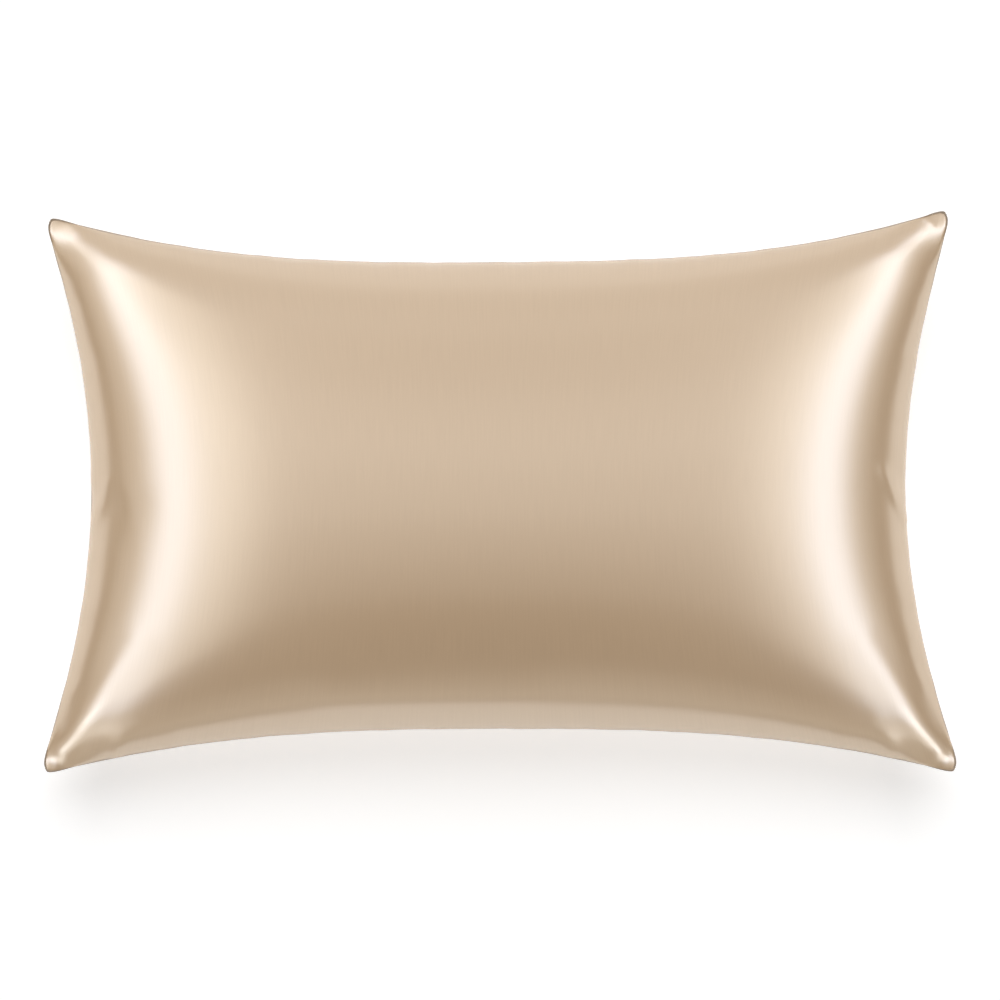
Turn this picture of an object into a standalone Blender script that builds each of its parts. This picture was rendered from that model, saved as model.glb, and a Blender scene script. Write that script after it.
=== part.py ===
"""A satin pillowcase, filled by its pillow and sewn all round, lying on its back.

Metres, +Z up. +X runs along the case and +Y across it. The origin is on the surface that
the case lies on, under the middle of its outline. Two panels of the same cut are sewn
along one seam, so the filled case is a single closed skin: the front panel crowns above
the seam, and the back panel bellies below it down to a flat patch of contact.

Both panels are spanned by the coordinates u (along the case) and v (across it), which run
from -1 to 1. u = -1 is the left side, u = 1 the right, v = -1 the near one and v = 1 the far.
"""
import bpy
import bmesh
from math import exp, hypot, pi, sin
from mathutils import Vector

# --- Driving dimensions ------------------------------------------------------------------
SEAM_HEIGHT = 0.088       # seam above the surface, halfway along a side
FRONT_CROWN = 0.090       # middle of the front panel above the seam
BACK_BELLY = 0.125        # how deep the back panel would hang with nothing under it
CONTACT_BLEND = 0.018     # height over which the back panel rounds into its flat patch
CORNER_PULL = 0.022       # how much of its half length a rounded corner loses
CORNER_REACH_U = 43       # a larger power keeps the rounding nearer the corner, along u
CORNER_REACH_V = 20       # the same, along v
EAR_REACH_U = 12          # a larger power keeps the flat ears nearer the corner, along u
EAR_REACH_V = 9           # the same, along v
FOLD_FULL_AT = 0.33       # a fold has its full rise where the crown is this part of its own

# Fullness of a panel: height falls off as ((1 - |u|^along) * (1 - |v|^across))^rim. The ears
# at the corners hold no filling, so "ear" is added to that last power there.
FRONT_FULLNESS = {"along": 2.2, "across": 2.2, "rim": 0.50, "ear": 0.80}
BACK_FULLNESS = {"along": 2.8, "across": 2.4, "rim": 0.50, "ear": 0.30}

# Where the sides of the seam would meet if the corners were sharp.
#                  x        y       droop below SEAM_HEIGHT
CORNERS = {
    "far_left":   (-0.3775,  0.2300, 0.010),
    "far_right":  ( 0.3742,  0.2363, 0.007),
    "near_left":  (-0.3812, -0.2343, 0.012),
    "near_right": ( 0.3822, -0.2335, 0.009),
}

# Each side is drawn in from the straight line between its corners by sag * (1 - |t|^power),
# where t runs from -1 at the first corner to 1 at the second. A larger power is flatter in
# its middle and turns harder towards that corner.
#           first corner  second corner   inward          sag     power1  power2
SIDES = {
    "far":   ("far_left",   "far_right",  (0.0, -1.0),  0.0446,   2.8,    3.0),
    "near":  ("near_left",  "near_right", (0.0, 1.0),   0.0407,   2.7,    2.8),
    "left":  ("near_left",  "far_left",   (1.0, 0.0),   0.0455,   1.95,   2.0),
    "right": ("near_right", "far_right",  (-1.0, 0.0),  0.0464,   2.0,    1.8),
}

# The main folds, each a soft ridge (rise above 0) or trough (rise below 0) that runs from
# its first end, where it is strongest, to its second, where it dies out.
#   panel     x1      y1      x2      y2     half width   rise
FOLDS = [
    ("front", -0.366,  0.222, -0.290,  0.150,  0.012,   0.006),    # far left corner
    ("front",  0.366,  0.228,  0.292,  0.160,  0.012,   0.005),    # far right corner
    ("front", -0.368, -0.226, -0.280, -0.150,  0.012,   0.006),    # near left corner
    ("front",  0.370, -0.224,  0.285, -0.145,  0.012,   0.007),    # near right corner
    ("front", -0.322, -0.022, -0.285,  0.010,  0.010,   0.005),    # middle of the left side
    ("front",  0.324, -0.014,  0.288,  0.022,  0.010,   0.004),    # middle of the right side
    ("front", -0.310, -0.208, -0.286, -0.180,  0.010,   0.003),    # near side, by the left
    ("front",  0.314, -0.208,  0.290, -0.180,  0.010,   0.003),    # near side, by the right
    ("back",  -0.366,  0.222, -0.250,  0.130,  0.016,  -0.007),    # the same four corners,
    ("back",   0.366,  0.228,  0.250,  0.135,  0.016,  -0.007),    # on the back panel
    ("back",  -0.368, -0.226, -0.250, -0.130,  0.016,  -0.007),
    ("back",   0.370, -0.224,  0.250, -0.130,  0.016,  -0.007),
]

# --- Fineness of the mesh ----------------------------------------------------------------
CELLS_ALONG = 60
CELLS_ACROSS = 40
EDGE_CROWDING = 0.8       # 0 spaces the rows evenly, 1 crowds them most towards the seam
GRID_DIGITS = 6           # a panel's rim is at exactly 1 or -1
SAME_POINT = 1e-6         # points of the two panels this close are sewn together

# --- Finish ------------------------------------------------------------------------------
SATIN_COLOUR = (0.578, 0.434, 0.296, 1.0)
SATIN_ROUGHNESS = 0.30
SATIN_SHEEN = 0.15


def remove_everything():
    """Start from an empty scene."""
    for thing in list(bpy.data.objects):
        bpy.data.objects.remove(thing, do_unlink=True)


def corner_point(name):
    x, y, droop = CORNERS[name]
    return Vector((x, y, SEAM_HEIGHT - droop))


def side_point(name, t):
    """A point of one side of the seam, for t from -1 to 1."""
    first, second, inward, sag, power_first, power_second = SIDES[name]
    start = corner_point(first)
    stop = corner_point(second)
    power = power_first if t < 0.0 else power_second
    bow = 1.0 - abs(t) ** power
    point = start.lerp(stop, (1.0 + t) / 2.0)
    point.x += inward[0] * sag * bow
    point.y += inward[1] * sag * bow
    point.z += (SEAM_HEIGHT - point.z) * bow
    return point


def seam_surface(u, v):
    """The sheet stretched inside the seam's four sides (a Coons patch)."""
    along = side_point("near", u).lerp(side_point("far", u), (1.0 + v) / 2.0)
    across = side_point("left", v).lerp(side_point("right", v), (1.0 + u) / 2.0)
    near = corner_point("near_left").lerp(corner_point("near_right"), (1.0 + u) / 2.0)
    far = corner_point("far_left").lerp(corner_point("far_right"), (1.0 + u) / 2.0)
    return along + across - near.lerp(far, (1.0 + v) / 2.0)


def round_corner(u, v):
    """Pull the grid in at its corners, so the seam turns there on a small radius."""
    pull = CORNER_PULL * abs(u) ** CORNER_REACH_U * abs(v) ** CORNER_REACH_V
    return u * (1.0 - pull), v * (1.0 - pull)


def crown(u, v, fullness):
    """How far a panel stands off the seam, from 0 at the seam to 1 at its middle."""
    along = 1.0 - abs(u) ** fullness["along"]
    across = 1.0 - abs(v) ** fullness["across"]
    ear = fullness["ear"] * abs(u) ** EAR_REACH_U * abs(v) ** EAR_REACH_V
    return (along * across) ** (fullness["rim"] + ear)


def fold_height(panel, x, y, stand_off):
    """The sum of the panel's folds at one point of the plan; they start at the seam."""
    height = 0.0
    for fold_panel, x1, y1, x2, y2, half_width, rise in FOLDS:
        if fold_panel != panel:
            continue
        length = hypot(x2 - x1, y2 - y1)
        run_x = (x2 - x1) / length
        run_y = (y2 - y1) / length
        run = (x - x1) * run_x + (y - y1) * run_y
        offset = (y - y1) * run_x - (x - x1) * run_y
        beyond = max(-run, 0.0, run - length)
        fade = 1.0 - min(max(run / length, 0.0), 1.0)
        spread = (offset ** 2 + beyond ** 2) / half_width ** 2
        height += rise * fade * exp(-spread)
    return height * min(1.0, stand_off / FOLD_FULL_AT)


def rest_on_surface(z):
    """Flatten what would sink below the surface, with a smooth turn up from the patch."""
    if z <= -CONTACT_BLEND:
        return 0.0
    if z >= CONTACT_BLEND:
        return z
    return (z + CONTACT_BLEND) ** 2 / (4.0 * CONTACT_BLEND)


def front_point(u, v):
    point = seam_surface(*round_corner(u, v))
    stand_off = crown(u, v, FRONT_FULLNESS)
    point.z += FRONT_CROWN * stand_off
    point.z += fold_height("front", point.x, point.y, stand_off)
    return point


def back_point(u, v):
    point = seam_surface(*round_corner(u, v))
    stand_off = crown(u, v, BACK_FULLNESS)
    point.z -= BACK_BELLY * stand_off
    point.z += fold_height("back", point.x, point.y, stand_off)
    point.z = rest_on_surface(point.z)
    return point


def crowd_to_edge(t):
    """Move evenly spaced rows towards the seam, where the panels turn hardest."""
    t = round(t, GRID_DIGITS)
    return (1.0 - EDGE_CROWDING) * t + EDGE_CROWDING * sin(t * pi / 2.0)


def add_panel(bm, shape, faces_down):
    """One panel: a flat grid, moved point by point onto its shape."""
    grid = bmesh.ops.create_grid(
        bm, x_segments=CELLS_ALONG, y_segments=CELLS_ACROSS, size=1.0)
    for vert in grid["verts"]:
        vert.co = shape(crowd_to_edge(vert.co.x), crowd_to_edge(vert.co.y))
    if faces_down:
        faces = {face for vert in grid["verts"] for face in vert.link_faces}
        bmesh.ops.reverse_faces(bm, faces=list(faces))


def sew(bm):
    """Join the two panels along the seam, the only place where their points meet."""
    seam = [vert for vert in bm.verts if vert.is_boundary]
    bmesh.ops.remove_doubles(bm, verts=seam, dist=SAME_POINT)


def centre_plan(bm):
    """Put the middle of the outline over the origin."""
    xs = [vert.co.x for vert in bm.verts]
    ys = [vert.co.y for vert in bm.verts]
    shift = Vector((-(min(xs) + max(xs)) / 2.0, -(min(ys) + max(ys)) / 2.0, 0.0))
    bmesh.ops.translate(bm, verts=bm.verts, vec=shift)


def satin_material():
    material = bpy.data.materials.new("champagne satin")
    material.use_nodes = True
    shader = material.node_tree.nodes["Principled BSDF"]
    shader.inputs["Base Color"].default_value = SATIN_COLOUR
    shader.inputs["Roughness"].default_value = SATIN_ROUGHNESS
    shader.inputs["Metallic"].default_value = 0.0
    shader.inputs["Sheen Weight"].default_value = SATIN_SHEEN
    return material


def build_pillowcase():
    bm = bmesh.new()
    add_panel(bm, front_point, faces_down=False)
    add_panel(bm, back_point, faces_down=True)
    sew(bm)
    centre_plan(bm)
    mesh = bpy.data.meshes.new("pillowcase")
    bm.to_mesh(mesh)
    bm.free()
    mesh.shade_smooth()
    mesh.materials.append(satin_material())
    case = bpy.data.objects.new("pillowcase", mesh)
    bpy.context.scene.collection.objects.link(case)
    return case


remove_everything()
build_pillowcase()
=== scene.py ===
"""A champagne satin pillowcase, filled by its pillow and lying on its back, in a pale studio.

Metres, +Z up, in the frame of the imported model: +X runs along the case and +Y across it.
Both panels are spanned by the coordinates u (along the case) and v (across it), from -1
to 1: u = -1 is the left side, u = 1 the right, v = -1 the near one and v = 1 the far.
"""
import math

import bpy
import numpy as np
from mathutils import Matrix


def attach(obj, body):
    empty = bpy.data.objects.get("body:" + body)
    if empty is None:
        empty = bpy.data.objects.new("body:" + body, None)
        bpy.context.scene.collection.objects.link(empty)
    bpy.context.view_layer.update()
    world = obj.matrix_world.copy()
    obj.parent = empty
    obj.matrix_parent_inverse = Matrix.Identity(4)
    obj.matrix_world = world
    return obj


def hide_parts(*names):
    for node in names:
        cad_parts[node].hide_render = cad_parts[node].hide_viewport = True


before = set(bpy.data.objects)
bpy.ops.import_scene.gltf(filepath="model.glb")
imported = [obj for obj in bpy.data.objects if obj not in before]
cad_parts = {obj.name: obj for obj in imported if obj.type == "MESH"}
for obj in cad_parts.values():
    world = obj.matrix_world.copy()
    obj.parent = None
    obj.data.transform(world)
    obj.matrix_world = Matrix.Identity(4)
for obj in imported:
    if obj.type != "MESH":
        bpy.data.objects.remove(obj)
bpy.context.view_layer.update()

# --- The form, as in the part's own source -------------------------------------------------
SEAM_HEIGHT = 0.088       # seam above the surface, halfway along a side
FRONT_CROWN = 0.090       # middle of the front panel above the sheet stretched inside the seam
BACK_BELLY = 0.125        # how deep below it the back panel would hang with nothing under it
CONTACT_BLEND = 0.018     # height over which the back panel rounds into its flat patch
CORNER_PULL = 0.022       # how much of its half length a rounded corner loses
CORNER_REACH_U = 43       # a larger power keeps the rounding nearer the corner, along u
CORNER_REACH_V = 20       # the same, along v
EAR_REACH_U = 12          # a larger power keeps the flat ears nearer the corner, along u
EAR_REACH_V = 9           # the same, along v

# Fullness of a panel: height falls off as ((1 - |u|^along) * (1 - |v|^across))^rim. The ears
# at the corners hold no filling, so "ear" is added to that last power there.
FRONT_FULLNESS = {"along": 2.2, "across": 2.2, "rim": 0.50, "ear": 0.80}
BACK_FULLNESS = {"along": 2.8, "across": 2.4, "rim": 0.50, "ear": 0.30}

# Where the sides of the seam would meet if the corners were sharp.
#                  x        y       droop below SEAM_HEIGHT
CORNERS = {
    "far_left":   (-0.3775,  0.2300, 0.010),
    "far_right":  ( 0.3742,  0.2363, 0.007),
    "near_left":  (-0.3812, -0.2343, 0.012),
    "near_right": ( 0.3822, -0.2335, 0.009),
}

# Each side is drawn in from the straight line between its corners by sag * (1 - |t|^power),
# where t runs from -1 at the first corner to 1 at the second. Each half has its own power.
#           first corner  second corner   inward          sag     power1  power2
SIDES = {
    "far":   ("far_left",   "far_right",  (0.0, -1.0),  0.0446,   2.8,    3.0),
    "near":  ("near_left",  "near_right", (0.0, 1.0),   0.0407,   2.7,    2.8),
    "left":  ("near_left",  "far_left",   (1.0, 0.0),   0.0455,   1.95,   2.0),
    "right": ("near_right", "far_right",  (-1.0, 0.0),  0.0464,   2.0,    1.8),
}

CASE_LENGTH = 0.762       # the case as cut, along X
CASE_WIDTH = 0.508        # and across

# --- Creases of the cloth ------------------------------------------------------------------
# Each is a soft ridge (rise above 0) or trough (rise below 0) of the front panel, along a
# straight run seen in plan. Its two flanks may differ in width: "left" and "right" are those of
# someone who walks the run from end 1 to end 2.
#    x1       y1       x2       y2      left    right    rise 1   rise 2
CREASES = [
    # far left corner: a soft ridge across it, behind the flat tip
    (-0.3630,  0.2075, -0.3470,  0.2175, 0.0060, 0.0060,  0.0002,  0.0003),
    # far right corner: a notch at the seam
    ( 0.3490,  0.2240,  0.3537,  0.2195, 0.0035, 0.0035, -0.0006, -0.0004),
    # near left corner: a broad ridge that rises towards the tip
    (-0.2945, -0.1208, -0.3580, -0.2100, 0.0130, 0.0100,  0.0004,  0.0022),
    # near right corner: the same
    ( 0.2953, -0.1208,  0.3580, -0.2100, 0.0100, 0.0130,  0.0004,  0.0022),
    # middle of the left side: a ridge, the dent beside it and a broad hollow further in
    (-0.3183,  0.0051, -0.3301, -0.0245, 0.0050, 0.0060,  0.0006,  0.0011),
    (-0.3230,  0.0130, -0.3300, -0.0060, 0.0050, 0.0050, -0.0004, -0.0006),
    (-0.3130, -0.0130, -0.2950, -0.0100, 0.0150, 0.0260, -0.0014, -0.0004),
    # middle of the right side: a ridge and the dent beside it
    ( 0.3080,  0.0180,  0.3284, -0.0228, 0.0060, 0.0030,  0.0007,  0.0010),
    ( 0.3230,  0.0200,  0.3270,  0.0010, 0.0035, 0.0035, -0.0004, -0.0006),
    # near side, by the left corner: two short gathers
    (-0.3140, -0.2140, -0.3110, -0.2090, 0.0055, 0.0055,  0.0010,  0.0005),
    (-0.3055, -0.2040, -0.2930, -0.1910, 0.0080, 0.0080,  0.0007,  0.0002),
    # near side, by the right corner: one gather
    ( 0.3030, -0.1880,  0.3187, -0.2120, 0.0080, 0.0080,  0.0002,  0.0008),
    # right side, by the near corner: a slight trough
    ( 0.3380, -0.1290,  0.3520, -0.1616, 0.0030, 0.0050, -0.0003, -0.0005),
    # near side: a shallow swelling along the rim
    (-0.1300, -0.1660,  0.0200, -0.1650, 0.0220, 0.0180,  0.0012,  0.0010),
]

# --- Seam ----------------------------------------------------------------------------------
SEAM_TUCK = 0.0021        # how far the seam is drawn in below the lip of the back panel
SEAM_LIP = 0.0022         # how far from the seam that groove is down to a third of its depth
FRONT_INSET = 0.0009      # how much further in the lip of the front panel is
INSET_REACH = 0.030       # how far from the seam that is down to a third
PUCKER_RISE = 0.00016     # of the small gathers along the seam
PUCKER_PEAK = 0.012       # how far from the seam they are strongest
# Wave lengths of the gathers along the seam, and their share of the rise.
PUCKERS = [(0.0217, 0.8), (0.0371, 1.0), (0.0610, 1.2)]
PHASE_PER_LENGTH = 40.0   # radians for each metre of wave length, so the waves don't line up
PHASES = {"far": 0.7, "near": 2.9, "right": 1.9, "left": 4.3}
# Towards the corners the groove and the gathers die out. A point counts as 2 - u^2 - v^2 off
# its corner, which is 0 at the corner itself and 2 in the middle of the case.
EAR_TUCK_REACH = 0.45     # nearer than this the groove is shallower, down to FRONT_INSET
GATHER_TIP_REACH = 0.5    # nearer than this the gathers are lower, down to nothing
TIP_REACH = 0.03          # nearer than this what is left of the groove goes down to nothing
TINY = 1e-9               # keeps the share of a side defined at a corner
CONTACT_FADE = 0.02       # height below which creases and seam die out towards the flat patch

# --- Fineness of the mesh ------------------------------------------------------------------
# Each panel has this many cells, of two triangles each: 197,248 triangles for the two panels.
CELLS_ALONG = 268
CELLS_ACROSS = 184

# --- Finish --------------------------------------------------------------------------------
SATIN_COLOUR = (0.530, 0.368, 0.222)
SATIN_ROUGHNESS = (0.235, 0.265)      # where the cloth is at its smoothest, and at its dullest
SATIN_IOR = 2.05
SATIN_SHINE = (1.0, 0.95, 0.86)       # tint of its mirror-like share
COLOUR_SPREAD = 0.015     # how much lighter or darker a streak of warp is than the cloth
SEAM_PAINTED_SHADE = 0.42         # painted shade: the cloth's brightness in the groove of the seam, as a share
SEAM_PAINTED_SHADE_FRONT = 0.0007 # how far from the seam that painted shade reaches on the front panel
SEAM_PAINTED_SHADE_BACK = 0.0045  # and on the back panel
SEAM_ROUGHNESS = 0.75     # in the groove
# Fine relief of the cloth. A blotch is this wide along X and this long along Y, as cut.
#                 width    length   depth
STREAKS =        (0.0014,  0.0450,  0.000006)    # warp threads that lie a little proud
WEAVE =          (0.0004,  0.0016,  0.000006)    # the long floats of the satin weave
SIDE_GATHERS =   (0.0080,  0.0500,  0.00028)     # at the long seams
END_GATHERS =    (0.0500,  0.0080,  0.00028)     # at the short seams
NOISE_RANGE = (0.3, 0.7)  # the part of 0 to 1 that the noise mostly keeps to
# The relief of the gathers is down to a third where the distance from the seam along the
# cloth and the straight one add up to this.
GATHER_REACH = 0.014

# --- Studio --------------------------------------------------------------------------------
FRAME_WIDTH = 0.816       # what the camera takes in at the height of the seam
CAMERA_ABOVE_SEAM = 3.2
SENSOR_WIDTH = 36.0       # in millimetres, as the lens is
CAMERA_OFFSET = (0.0, -0.0066)        # from the middle of the case, in X and Y
LIGHT_DISTANCE = 2.0      # from LIGHT_CENTRE to the plane of a softbox
LIGHT_CENTRE = (0.0, 0.0, 0.12)
WATTS_PER_AREA = 4.0      # watts for each square metre of a softbox of strength 1
NEUTRAL = (1.0, 1.0, 1.0)
COOL = (0.92, 1.04, 1.30)
WARM = (1.04, 1.0, 0.92)
# Softboxes stand round the case at an angle from straight above: "side" ones left (-) and
# right (+) of it, with their length along Y, and "over" ones from near (-) to far (+), with
# their length along X, which ends at "from" and "to". Those that overlap make a light with a
# bright core and soft edges.
# The cores of the two bright bands are a little cool, their soft edges a little warm. The low
# ones at 60 degrees carry the bands on into the near corners.
#   kind      angle   width   from    to     strength  colour
SOFTBOXES = [
    ("side",  -52.4,   0.36,   -1.8,   2.8,   1.10,   COOL),
    ("side",  -52.3,   0.56,   -1.8,   2.8,   0.65,   COOL),
    ("side",  -60.0,   0.50,   -3.0,  -1.2,   2.40,   NEUTRAL),
    ("side",  -49.0,   1.05,   -1.4,   2.4,   0.45,   WARM),
    ("side",  -53.5,   1.75,   -1.4,   2.4,   0.42,   WARM),
    ("side",   52.4,   0.36,   -1.8,   2.8,   1.25,   COOL),
    ("side",   52.6,   0.56,   -1.8,   2.8,   0.70,   COOL),
    ("side",   60.0,   0.50,   -3.0,  -1.2,   2.50,   NEUTRAL),
    ("side",   50.5,   0.95,   -1.4,   2.4,   0.40,   WARM),
    ("side",   52.0,   1.50,   -1.4,   2.4,   0.36,   WARM),
    ("over",  -80.0,   0.42,   -2.0,   2.0,   0.40,   WARM),
    ("over",  -68.0,   0.42,   -2.0,   2.0,   0.22,   WARM),
    ("over",  -24.0,   0.42,   -2.0,   2.0,   0.20,   NEUTRAL),
    ("over",  -12.0,   0.42,   -2.0,   2.0,   0.36,   NEUTRAL),
    ("over",    0.0,   0.42,   -2.0,   2.0,   0.60,   NEUTRAL),
    ("over",   12.0,   0.42,   -2.0,   2.0,   0.71,   NEUTRAL),
    ("over",   24.0,   0.42,   -2.0,   2.0,   0.65,   NEUTRAL),
    ("over",   36.0,   0.42,   -2.0,   2.0,   0.54,   NEUTRAL),
    ("over",   48.0,   0.42,   -2.0,   2.0,   0.52,   NEUTRAL),
    ("over",   60.0,   0.42,   -2.0,   2.0,   0.60,   NEUTRAL),
    ("over",   72.0,   0.42,   -2.0,   2.0,   0.57,   NEUTRAL),
    ("over",   84.0,   0.42,   -2.0,   2.0,   0.62,   NEUTRAL),
]
FLOOR_HALF_SIZE = 60.0
FLOOR_COLOUR = 0.9
FLOOR_ROUGHNESS = 0.9
FLOOR_GLOW = 0.30
# Suns light only the floor. The one straight above keeps the place under the case dark, and
# the tilted one throws the soft shadow on the near side.
#   name         tilt towards +Y   spread   strength
SUNS = [
    ("overhead",   0.0,             5.0,     1.40),
    ("behind",    33.0,            40.0,     1.40),
]
BACKDROP = 1.0            # brightness of what lies beyond the floor


def corner_point(name):
    """Where two sides of the seam would meet."""
    x, y, droop = CORNERS[name]
    return np.array((x, y, SEAM_HEIGHT - droop))


def side_points(name, t):
    """Points of one side of the seam, for an array t from -1 to 1."""
    first, second, inward, sag, power_first, power_second = SIDES[name]
    start = corner_point(first)
    stop = corner_point(second)
    power = np.where(t < 0.0, power_first, power_second)
    bow = 1.0 - np.abs(t) ** power
    share = ((1.0 + t) / 2.0)[..., None]
    points = start * (1.0 - share) + stop * share
    points[..., 0] += inward[0] * sag * bow
    points[..., 1] += inward[1] * sag * bow
    points[..., 2] += (SEAM_HEIGHT - points[..., 2]) * bow
    return points


def mix(a, b, share):
    """Points on the way from a to b, by a share for each."""
    return a * (1.0 - share[..., None]) + b * share[..., None]


def seam_surface(u, v):
    """The sheet stretched inside the seam's four sides (a Coons patch)."""
    share_u = (1.0 + u) / 2.0
    share_v = (1.0 + v) / 2.0
    along = mix(side_points("near", u), side_points("far", u), share_v)
    across = mix(side_points("left", v), side_points("right", v), share_u)
    near = mix(corner_point("near_left"), corner_point("near_right"), share_u)
    far = mix(corner_point("far_left"), corner_point("far_right"), share_u)
    return along + across - mix(near, far, share_v)


def round_corner(u, v):
    """Pull the grid in at its corners, so the seam turns there on a small radius."""
    pull = CORNER_PULL * np.abs(u) ** CORNER_REACH_U * np.abs(v) ** CORNER_REACH_V
    return u * (1.0 - pull), v * (1.0 - pull)


def crown(u, v, fullness):
    """How far a panel stands off that sheet, from 0 at the seam to 1 at its middle."""
    along = 1.0 - np.abs(u) ** fullness["along"]
    across = 1.0 - np.abs(v) ** fullness["across"]
    ear = fullness["ear"] * np.abs(u) ** EAR_REACH_U * np.abs(v) ** EAR_REACH_V
    return np.maximum(along * across, 0.0) ** (fullness["rim"] + ear)


def rest_on_surface(z):
    """Flatten what would sink below the surface, with a smooth turn up from the patch."""
    turn = (z + CONTACT_BLEND) ** 2 / (4.0 * CONTACT_BLEND)
    return np.where(z <= -CONTACT_BLEND, 0.0, np.where(z >= CONTACT_BLEND, z, turn))


def front_points(u, v):
    points = seam_surface(*round_corner(u, v))
    points[..., 2] += FRONT_CROWN * crown(u, v, FRONT_FULLNESS)
    return points


def back_points(u, v):
    points = seam_surface(*round_corner(u, v))
    points[..., 2] -= BACK_BELLY * crown(u, v, BACK_FULLNESS)
    points[..., 2] = rest_on_surface(points[..., 2])
    return points


def rows(count):
    """Rows from -1 to 1 that crowd towards the seam, so they are even up its steep rim."""
    t = np.sin(np.linspace(-1.0, 1.0, count + 1) * math.pi / 2.0)
    t[0], t[-1] = -1.0, 1.0
    return t


def crease_rise(x, y):
    """The sum of the creases at points of the plan."""
    total = np.zeros_like(x)
    for x1, y1, x2, y2, left, right, rise1, rise2 in CREASES:
        length = math.hypot(x2 - x1, y2 - y1)
        run_x = (x2 - x1) / length
        run_y = (y2 - y1) / length
        run = (x - x1) * run_x + (y - y1) * run_y
        offset = (y - y1) * run_x - (x - x1) * run_y
        width = np.where(offset > 0.0, left, right)
        beyond = np.maximum(np.maximum(-run, run - length), 0.0)
        share = np.clip(run / length, 0.0, 1.0)
        share = share ** 2 * (3.0 - 2.0 * share)
        spread = (offset / width) ** 2 + (2.0 * beyond / (left + right)) ** 2
        total += (rise1 * (1.0 - share) + rise2 * share) * np.exp(-spread)
    return total


def pucker_wave(distance, phase):
    """The uneven wave of the gathers along one side of the seam."""
    wave = np.zeros_like(distance)
    for length, share in PUCKERS:
        wave += share * np.sin(2.0 * math.pi * distance / length + phase + PHASE_PER_LENGTH * length)
    return wave


def from_seam(u, v, height):
    """How far points that stand this far off the sheet of the seam are from the seam itself."""
    here = seam_surface(*round_corner(u, v))
    to_end = here - seam_surface(*round_corner(np.copysign(1.0, u), v))
    to_side = here - seam_surface(*round_corner(u, np.copysign(1.0, v)))
    level = np.minimum(np.linalg.norm(to_end, axis=-1), np.linalg.norm(to_side, axis=-1))
    return np.hypot(height, level)


def seam_rise(u, v, x, y, off_seam, on_front):
    """What the seam adds: the groove between its lips and the small gathers beside it."""
    off_end = 1.0 - u ** 2
    off_side = 1.0 - v ** 2
    off_corner = off_end + off_side
    deepening = np.clip(off_corner / EAR_TUCK_REACH, 0.0, 1.0)
    depth = FRONT_INSET + (SEAM_TUCK - FRONT_INSET) * deepening
    inset = np.where(on_front, FRONT_INSET, 0.0) * np.exp(-(off_seam / INSET_REACH) ** 2)
    tuck = (depth - inset) * np.exp(-(off_seam / SEAM_LIP) ** 2) + inset
    on_side = off_end ** 2 / (off_end ** 2 + off_side ** 2 + TINY)
    side_wave = pucker_wave(x, np.where(v > 0.0, PHASES["far"], PHASES["near"]))
    end_wave = pucker_wave(y, np.where(u > 0.0, PHASES["right"], PHASES["left"]))
    wave = on_side * side_wave + (1.0 - on_side) * end_wave
    reach = off_seam / PUCKER_PEAK
    gathers = PUCKER_RISE * wave * reach * np.exp((1.0 - reach ** 2) / 2.0)
    gathers_fade = np.clip(off_corner / GATHER_TIP_REACH, 0.0, 1.0)
    return gathers * gathers_fade - tuck * np.clip(off_corner / TIP_REACH, 0.0, 1.0)


def sewn(front, back):
    """The front panel's values, seam and all, and then those of the back panel inside it."""
    inside = back[1:-1, 1:-1]
    ends = front.shape[2:]
    return np.concatenate([front.reshape(-1, *ends), inside.reshape(-1, *ends)])


def panel_faces(ids, places, faces_down):
    """The four points of each face of a panel, and their places on the cloth as cut."""
    low = slice(None, -1)
    high = slice(1, None)
    around = [(low, low), (low, high), (high, high), (high, low)]
    if faces_down:
        around.reverse()
    quads = np.stack([ids[corner] for corner in around], -1).reshape(-1, 4)
    uvs = np.stack([places[corner] for corner in around], 2).reshape(-1, 4, 2)
    return quads, uvs


def sew_panels(u, v):
    """Both panels in one mesh: the back one has the front one's points along the seam."""
    front = front_points(u, v)
    back = back_points(u, v)
    centre = (front.reshape(-1, 3).max(0) + front.reshape(-1, 3).min(0)) / 2.0
    centre[2] = 0.0
    front_ids = np.arange(u.size).reshape(u.shape)
    back_ids = front_ids.copy()
    inside = back_ids[1:-1, 1:-1]
    inside[:] = u.size + np.arange(inside.size).reshape(inside.shape)
    places = np.stack([u * CASE_LENGTH / 2.0, v * CASE_WIDTH / 2.0], -1)
    front_quads, front_uvs = panel_faces(front_ids, places, faces_down=False)
    back_quads, back_uvs = panel_faces(back_ids, places, faces_down=True)
    points = sewn(front - centre, back - centre)
    mesh = bpy.data.meshes.new("satin_case")
    mesh.from_pydata(points.tolist(), [], np.concatenate([front_quads, back_quads]).tolist())
    layer = mesh.uv_layers.new(name="cloth")
    layer.data.foreach_set("uv", np.concatenate([front_uvs, back_uvs]).ravel())
    return mesh, points


def add_fine_shape(mesh, points, u, v, off_seam, on_front):
    """Move each point along its normal by what the seam, its gathers and the creases add."""
    normals = np.empty(points.size)
    mesh.vertices.foreach_get("normal", normals)
    x, y, z = points.T
    rise = seam_rise(u, v, x, y, off_seam, on_front)
    rise += np.where(on_front, crease_rise(x, y), 0.0)
    rise *= np.clip(z / CONTACT_FADE, 0.0, 1.0)
    moved = points + normals.reshape(-1, 3) * rise[:, None]
    mesh.vertices.foreach_set("co", moved.ravel())
    mesh.update()


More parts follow.
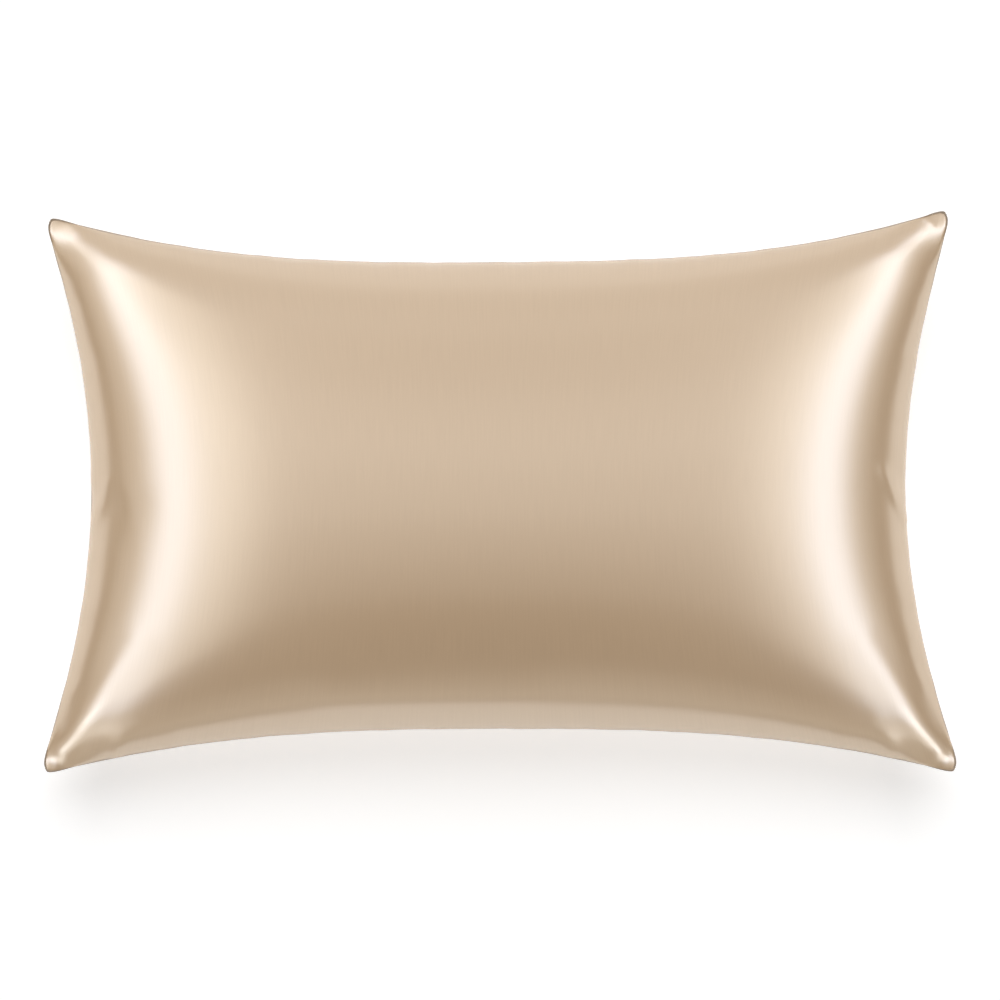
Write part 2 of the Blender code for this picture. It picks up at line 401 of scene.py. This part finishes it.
def add_weights(mesh, u, v, off_seam, on_front):
    """Three numbers for each point, which tell the material how near the seam it is: two for the
    relief of the gathers, and one for the painted shade and the roughness in its groove.
    """
    from_end = CASE_LENGTH / 2.0 * (1.0 - np.abs(u))
    from_side = CASE_WIDTH / 2.0 * (1.0 - np.abs(v))
    # Weight of the painted shade in the groove of the seam, which also raises the roughness there.
    painted_shade_reach = np.where(on_front, SEAM_PAINTED_SHADE_FRONT, SEAM_PAINTED_SHADE_BACK)
    weights = {
        "at_side_seam": np.exp(-(from_side + off_seam) / GATHER_REACH),
        "at_end_seam": np.exp(-(from_end + off_seam) / GATHER_REACH),
        "painted_shade_in_seam": np.exp(-(off_seam / painted_shade_reach) ** 2),
    }
    for name, values in weights.items():
        layer = mesh.attributes.new(name, "FLOAT", "POINT")
        layer.data.foreach_set("value", values.astype(np.float32))


def build_case():
    """The filled case: two panels sewn together, with the seam and the creases on them."""
    u, v = np.meshgrid(rows(CELLS_ALONG), rows(CELLS_ACROSS))
    mesh, points = sew_panels(u, v)
    sheet_z = seam_surface(*round_corner(u, v))[..., 2]
    height = np.abs(points[:, 2] - sewn(sheet_z, sheet_z))
    on_front = np.arange(len(points)) < u.size
    u = sewn(u, u)
    v = sewn(v, v)
    off_seam = from_seam(u, v, height)
    add_fine_shape(mesh, points, u, v, off_seam, on_front)
    add_weights(mesh, u, v, off_seam, on_front)
    mesh.shade_smooth()
    case = bpy.data.objects.new("satin_case", mesh)
    bpy.context.scene.collection.objects.link(case)
    return case


def relief(material, cloth, size, below=None, weight=None):
    """A bump of soft blotches on the cloth, over another one; returns its noise and itself."""
    nodes = material.node_tree.nodes
    links = material.node_tree.links
    width, length, depth = size
    place = nodes.new("ShaderNodeMapping")
    place.inputs["Scale"].default_value = (1.0 / width, 1.0 / length, 1.0)
    links.new(cloth.outputs["UV"], place.inputs["Vector"])
    noise = nodes.new("ShaderNodeTexNoise")
    noise.inputs["Scale"].default_value = 1.0
    noise.inputs["Detail"].default_value = 1.0
    links.new(place.outputs["Vector"], noise.inputs["Vector"])
    height = noise.outputs["Fac"]
    if weight:
        amount = nodes.new("ShaderNodeAttribute")
        amount.attribute_name = weight
        product = nodes.new("ShaderNodeMath")
        product.operation = "MULTIPLY"
        links.new(noise.outputs["Fac"], product.inputs[0])
        links.new(amount.outputs["Fac"], product.inputs[1])
        height = product.outputs[0]
    bump = nodes.new("ShaderNodeBump")
    bump.inputs["Distance"].default_value = depth
    links.new(height, bump.inputs["Height"])
    if below:
        links.new(below.outputs["Normal"], bump.inputs["Normal"])
    return noise, bump


def spread(material, value, low, high):
    """Noise, which keeps near its middle, stretched to the range from low to high."""
    stretch = material.node_tree.nodes.new("ShaderNodeMapRange")
    stretch.inputs["From Min"].default_value = NOISE_RANGE[0]
    stretch.inputs["From Max"].default_value = NOISE_RANGE[1]
    stretch.inputs["To Min"].default_value = low
    stretch.inputs["To Max"].default_value = high
    material.node_tree.links.new(value, stretch.inputs["Value"])
    return stretch.outputs["Result"]


def towards(material, weight, value, goal):
    """A value, moved towards a fixed goal by a weight of the mesh."""
    mixer = material.node_tree.nodes.new("ShaderNodeMix")
    material.node_tree.links.new(weight.outputs["Fac"], mixer.inputs["Factor"])
    material.node_tree.links.new(value, mixer.inputs["A"])
    mixer.inputs["B"].default_value = goal
    return mixer.outputs["Result"]


def tinted(material, value):
    """The satin's colour times a brightness."""
    tint = material.node_tree.nodes.new("ShaderNodeVectorMath")
    tint.operation = "SCALE"
    tint.inputs[0].default_value = SATIN_COLOUR
    material.node_tree.links.new(value, tint.inputs["Scale"])
    return tint.outputs[0]


def satin_material():
    """Satin: long floats of the warp, which runs along Y, give it a smooth streaked shine."""
    material = bpy.data.materials.new("champagne satin")
    material.use_nodes = True
    nodes = material.node_tree.nodes
    links = material.node_tree.links
    shader = nodes["Principled BSDF"]
    shader.inputs["IOR"].default_value = SATIN_IOR
    shader.inputs["Specular IOR Level"].default_value = 1.0
    shader.inputs["Specular Tint"].default_value = (*SATIN_SHINE, 1.0)
    cloth = nodes.new("ShaderNodeUVMap")
    cloth.uv_map = "cloth"
    streaks, bump = relief(material, cloth, STREAKS)
    weave, bump = relief(material, cloth, WEAVE, bump)
    _, bump = relief(material, cloth, SIDE_GATHERS, bump, "at_side_seam")
    _, bump = relief(material, cloth, END_GATHERS, bump, "at_end_seam")
    links.new(bump.outputs["Normal"], shader.inputs["Normal"])
    brightness = spread(material, streaks.outputs["Fac"], 1.0 - COLOUR_SPREAD, 1.0 + COLOUR_SPREAD)
    # Painted shade: the colour is darkened in the groove of the seam, where shade would fall, and
    # the roughness is raised there.
    groove = nodes.new("ShaderNodeAttribute")
    groove.attribute_name = "painted_shade_in_seam"
    shade = towards(material, groove, brightness, SEAM_PAINTED_SHADE)
    links.new(tinted(material, shade), shader.inputs["Base Color"])
    roughness = spread(material, weave.outputs["Fac"], *SATIN_ROUGHNESS)
    links.new(towards(material, groove, roughness, SEAM_ROUGHNESS), shader.inputs["Roughness"])
    return material


def build_floor():
    """A pale matt floor that glows a little."""
    size = FLOOR_HALF_SIZE
    mesh = bpy.data.meshes.new("studio_floor")
    mesh.from_pydata([(-size, -size, 0), (size, -size, 0), (size, size, 0), (-size, size, 0)],
                     [], [(0, 1, 2, 3)])
    floor = bpy.data.objects.new("studio_floor", mesh)
    bpy.context.scene.collection.objects.link(floor)
    material = bpy.data.materials.new("pale floor")
    material.use_nodes = True
    shader = material.node_tree.nodes["Principled BSDF"]
    shader.inputs["Base Color"].default_value = (FLOOR_COLOUR, FLOOR_COLOUR, FLOOR_COLOUR, 1.0)
    shader.inputs["Roughness"].default_value = FLOOR_ROUGHNESS
    shader.inputs["Specular IOR Level"].default_value = 0.0
    shader.inputs["Emission Color"].default_value = (1.0, 1.0, 1.0, 1.0)
    shader.inputs["Emission Strength"].default_value = FLOOR_GLOW
    mesh.materials.append(material)
    return floor


def only(name, thing):
    """A collection that a lamp's light can be kept to."""
    group = bpy.data.collections.new(name)
    group.objects.link(thing)
    return group


def softbox(name, kind, angle, width, start, stop, strength, colour, receivers):
    """A rectangular lamp that faces the case; it isn't seen by the camera itself."""
    data = bpy.data.lights.new(name, "AREA")
    data.shape = "RECTANGLE"
    length = stop - start
    middle = (start + stop) / 2.0
    data.energy = WATTS_PER_AREA * strength * length * width
    data.color = colour
    lamp = bpy.data.objects.new(name, data)
    turn = math.radians(angle)
    reach = LIGHT_DISTANCE * math.sin(turn)
    height = LIGHT_CENTRE[2] + LIGHT_DISTANCE * math.cos(turn)
    if kind == "side":
        data.size, data.size_y = width, length
        lamp.location = (LIGHT_CENTRE[0] + reach, LIGHT_CENTRE[1] + middle, height)
        lamp.rotation_euler = (0.0, turn, 0.0)
    else:
        data.size, data.size_y = length, width
        lamp.location = (LIGHT_CENTRE[0] + middle, LIGHT_CENTRE[1] + reach, height)
        lamp.rotation_euler = (-turn, 0.0, 0.0)
    lamp.visible_camera = False
    lamp.light_linking.receiver_collection = receivers
    bpy.context.scene.collection.objects.link(lamp)


def sun(name, tilt, spread_angle, strength, receivers):
    """A sun that comes from straight above, or tilted away from the near side."""
    data = bpy.data.lights.new(name, "SUN")
    data.energy = strength
    data.angle = math.radians(spread_angle)
    lamp = bpy.data.objects.new(name, data)
    lamp.rotation_euler = (-math.radians(tilt), 0.0, 0.0)
    lamp.light_linking.receiver_collection = receivers
    bpy.context.scene.collection.objects.link(lamp)


def build_world():
    """A pale backdrop beyond the floor; the light itself comes from the lamps and the floor."""
    world = bpy.data.worlds.new("studio")
    bpy.context.scene.world = world
    world.use_nodes = True
    nodes = world.node_tree.nodes
    path = nodes.new("ShaderNodeLightPath")
    world.node_tree.links.new(path.outputs["Is Camera Ray"], nodes["Background"].inputs["Strength"])
    nodes["Background"].inputs["Color"].default_value = (BACKDROP, BACKDROP, BACKDROP, 1.0)


def build_camera():
    """The camera looks straight down on the front panel."""
    data = bpy.data.cameras.new("camera")
    data.sensor_width = SENSOR_WIDTH
    data.lens = SENSOR_WIDTH * CAMERA_ABOVE_SEAM / FRAME_WIDTH
    camera = bpy.data.objects.new("camera", data)
    camera.location = (*CAMERA_OFFSET, SEAM_HEIGHT + CAMERA_ABOVE_SEAM)
    bpy.context.scene.collection.objects.link(camera)
    bpy.context.scene.camera = camera


case = build_case()
case.data.materials.append(satin_material())
floor = build_floor()
build_world()
only_case = only("lit by the softboxes", case)
only_floor = only("lit by the suns", floor)
for index, softbox_row in enumerate(SOFTBOXES):
    softbox(f"softbox_{index}", *softbox_row, only_case)
for name, tilt, spread_angle, strength in SUNS:
    sun(name, tilt, spread_angle, strength, only_floor)
build_camera()
bpy.context.scene.view_settings.view_transform = "Standard"

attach(case, "root")
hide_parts("pillowcase")
